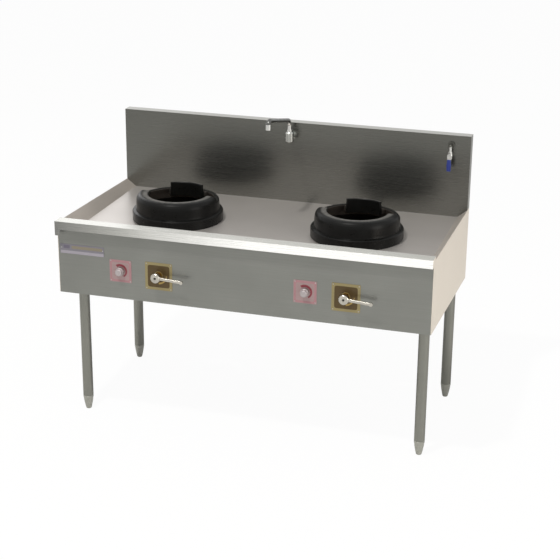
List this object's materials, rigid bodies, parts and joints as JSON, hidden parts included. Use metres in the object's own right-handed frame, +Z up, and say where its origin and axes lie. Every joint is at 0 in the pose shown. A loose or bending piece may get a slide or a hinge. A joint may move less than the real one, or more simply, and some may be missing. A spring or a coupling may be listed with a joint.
{
  "type": "wok range",
  "caption": "Free-standing gas wok range with loose cast-iron rings, splashback, swivel tap, water valve, lever and knob controls, and tube legs with screw feet.",
  "frame": {"origin": "on the floor, under the middle of the whole range", "axes": "+Z up, front panel and controls face -Y, +X to the right seen from the front"},
  "size_m": [1.5, 0.826, 1.2341],
  "materials": {
    "deck_steel": "brushed stainless sheet",
    "splash_steel": "brushed stainless sheet",
    "panel_steel": "brushed stainless sheet",
    "side_steel": "brushed stainless sheet",
    "galvanised_steel": "galvanised",
    "leg_steel": "satin stainless tube",
    "foot_alloy": "satin",
    "ring_iron": "black cast iron, slight sheen",
    "chamber_steel": "mild steel, heat darkened",
    "refractory": "matt fireclay",
    "pipe_steel": "galvanised pipe",
    "burner_iron": "rough cast iron",
    "valve_brass": "machined",
    "copper_tube": "drawn tube",
    "lever_metal": "satin chrome",
    "knob_metal": "satin",
    "gold_plate": "gold anodised, brown field",
    "red_plate": "printed red edge",
    "bare_plate": "brushed, bare",
    "fastener_steel": "plated",
    "tap_chrome": "polished chrome",
    "blue_lever": "blue powder coat",
    "drain_steel": "satin stainless"
  },
  "bodies": {
    "range": {"back_panel": "galvanised_steel", "burner_chamber_left": "chamber_steel", "burner_chamber_right": "chamber_steel", "burner_left": "burner_iron", "burner_pipe_left": "pipe_steel", "burner_pipe_right": "pipe_steel", "burner_right": "burner_iron", "chamber_lining_left": "refractory", "chamber_lining_right": "refractory", "cross_rails": "galvanised_steel", "deck_pan": "deck_steel", "drain_waste": "drain_steel", "front_panel": "panel_steel", "gas_inlet_pipe": "pipe_steel", "gas_manifold": "pipe_steel", "injectors": "valve_brass", "leg_front_left": "leg_steel", "leg_front_right": "leg_steel", "leg_rear_left": "leg_steel", "leg_rear_right": "leg_steel", "leg_sockets": "galvanised_steel", "main_plates": "gold_plate", "main_valve_left": "valve_brass", "main_valve_right": "valve_brass", "name_plate": "bare_plate", "panel_screws": "fastener_steel", "pilot_burner_left": "valve_brass", "pilot_burner_right": "valve_brass", "pilot_plates": "red_plate", "pilot_tube_left": "copper_tube", "pilot_tube_right": "copper_tube", "pilot_valve_left": "valve_brass", "pilot_valve_right": "valve_brass", "plate_rivets": "fastener_steel", "rail_front": "galvanised_steel", "rail_left": "galvanised_steel", "rail_rear": "galvanised_steel", "rail_right": "galvanised_steel", "side_panel_left": "side_steel", "side_panel_right": "side_steel", "socket_screws": "fastener_steel", "splashback": "splash_steel", "tap_body": "tap_chrome", "water_pipe": "copper_tube", "water_valve": "tap_chrome"},
    "wok_ring_left": {"wok_ring_left": "ring_iron"},
    "main_lever_left": {"main_lever_left": "lever_metal", "main_spindle_left": "valve_brass"},
    "pilot_knob_left": {"pilot_knob_left": "knob_metal"},
    "wok_ring_right": {"wok_ring_right": "ring_iron"},
    "main_lever_right": {"main_lever_right": "lever_metal", "main_spindle_right": "valve_brass"},
    "pilot_knob_right": {"pilot_knob_right": "knob_metal"},
    "tap_spout": {"tap_spout": "tap_chrome"},
    "water_lever": {"water_lever": "blue_lever"},
    "drain_strainer": {"drain_strainer": "drain_steel"},
    "foot_front_left": {"foot_front_left": "foot_alloy"},
    "foot_front_right": {"foot_front_right": "foot_alloy"},
    "foot_rear_left": {"foot_rear_left": "foot_alloy"},
    "foot_rear_right": {"foot_rear_right": "foot_alloy"}
  },
  "joints": [
    {"name": "wok_ring_lift_left", "type": "slide", "parent": "range", "child": "wok_ring_left", "axis": [0, 0, 1], "range_m": [0, 0.12]},
    {"name": "main_lever_turn_left", "type": "hinge", "parent": "range", "child": "main_lever_left", "pos_m": [-0.328, -0.395, 0.676], "axis": [0, 1, 0], "range_deg": [0, 90]},
    {"name": "pilot_knob_turn_left", "type": "hinge", "parent": "range", "child": "pilot_knob_left", "pos_m": [-0.487, -0.385, 0.676], "axis": [0, 1, 0], "range_deg": [0, 90]},
    {"name": "wok_ring_lift_right", "type": "slide", "parent": "range", "child": "wok_ring_right", "axis": [0, 0, 1], "range_m": [0, 0.12]},
    {"name": "main_lever_turn_right", "type": "hinge", "parent": "range", "child": "main_lever_right", "pos_m": [0.422, -0.395, 0.676], "axis": [0, 1, 0], "range_deg": [0, 90]},
    {"name": "pilot_knob_turn_right", "type": "hinge", "parent": "range", "child": "pilot_knob_right", "pos_m": [0.263, -0.385, 0.676], "axis": [0, 1, 0], "range_deg": [0, 90]},
    {"name": "tap_spout_swivel", "type": "hinge", "parent": "range", "child": "tap_spout", "pos_m": [0, 0.304, 1.115], "axis": [0, 0, 1], "range_deg": [-90, 90]},
    {"name": "water_lever_turn", "type": "hinge", "parent": "range", "child": "water_lever", "pos_m": [0.671, 0.31, 1.065], "axis": [0, 1, 0], "range_deg": [0, 90]},
    {"name": "strainer_lift", "type": "slide", "parent": "range", "child": "drain_strainer", "axis": [0, 0, 1], "range_m": [0, 0.03]},
    {"name": "foot_screw_front_left", "type": "slide", "parent": "range", "child": "foot_front_left", "axis": [0, 0, -1], "range_m": [0, 0.02]},
    {"name": "foot_screw_front_right", "type": "slide", "parent": "range", "child": "foot_front_right", "axis": [0, 0, -1], "range_m": [0, 0.02]},
    {"name": "foot_screw_rear_left", "type": "slide", "parent": "range", "child": "foot_rear_left", "axis": [0, 0, -1], "range_m": [0, 0.02]},
    {"name": "foot_screw_rear_right", "type": "slide", "parent": "range", "child": "foot_rear_right", "axis": [0, 0, -1], "range_m": [0, 0.02]}
  ]
}
